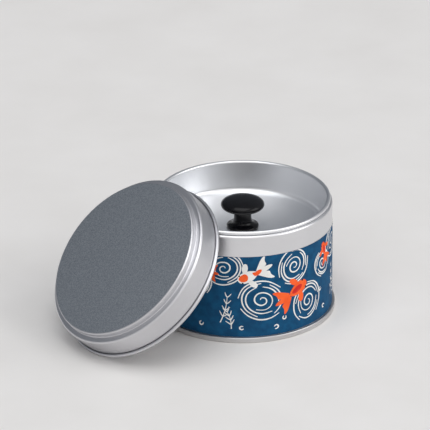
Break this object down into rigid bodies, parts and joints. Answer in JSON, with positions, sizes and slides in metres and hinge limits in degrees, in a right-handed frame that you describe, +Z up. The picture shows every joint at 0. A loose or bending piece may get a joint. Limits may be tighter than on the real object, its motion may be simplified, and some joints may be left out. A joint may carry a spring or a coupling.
{
  "type": "caddy tin",
  "caption": "Round tinplate storage tin with a paper wrap, a lift-out inner lid with a knob, and a slip-over outer lid leaning on it.",
  "frame": {"origin": "on the tin's axis, in the plane of the foot ring that it stands on", "axes": "+Z up along the tin's axis; -Y faces the viewer; the outer lid leans on the tin towards -X and -Y"},
  "size_m": [0.1247, 0.1138, 0.0662],
  "materials": {
    "tinplate_body": "satin tinplate",
    "tinplate_bottom": "satin tinplate",
    "printed_paper": "matt printed paper",
    "tinplate_inner_lid": "satin tinplate",
    "black_knob": "gloss black",
    "zinc_screw": "zinc plated",
    "zinc_washer": "zinc plated",
    "tinplate_outer_lid": "matt tinplate"
  },
  "bodies": {
    "tin": {"body_shell": "tinplate_body", "bottom_end": "tinplate_bottom", "paper_wrap": "printed_paper"},
    "inner_lid": {"inner_lid_dish": "tinplate_inner_lid", "knob": "black_knob", "knob_screw": "zinc_screw", "knob_washer": "zinc_washer"},
    "outer_lid": {"outer_lid_shell": "tinplate_outer_lid"}
  },
  "joints": [
    {"name": "outer_lid_swing", "type": "hinge", "parent": "tin", "child": "outer_lid", "pos_m": [0.03833, 0.02704, -0.00388], "axis": [-0.5764, 0.8171, 0], "range_deg": [0, 45.4]},
    {"name": "inner_lid_lift", "type": "slide", "parent": "tin", "child": "inner_lid", "axis": [0, 0, 1], "range_m": [0, 0.022]}
  ],
  "couplings": [
    {"joint": "inner_lid_lift", "follows": "outer_lid_swing", "m_per_rad": 0.027764}
  ]
}
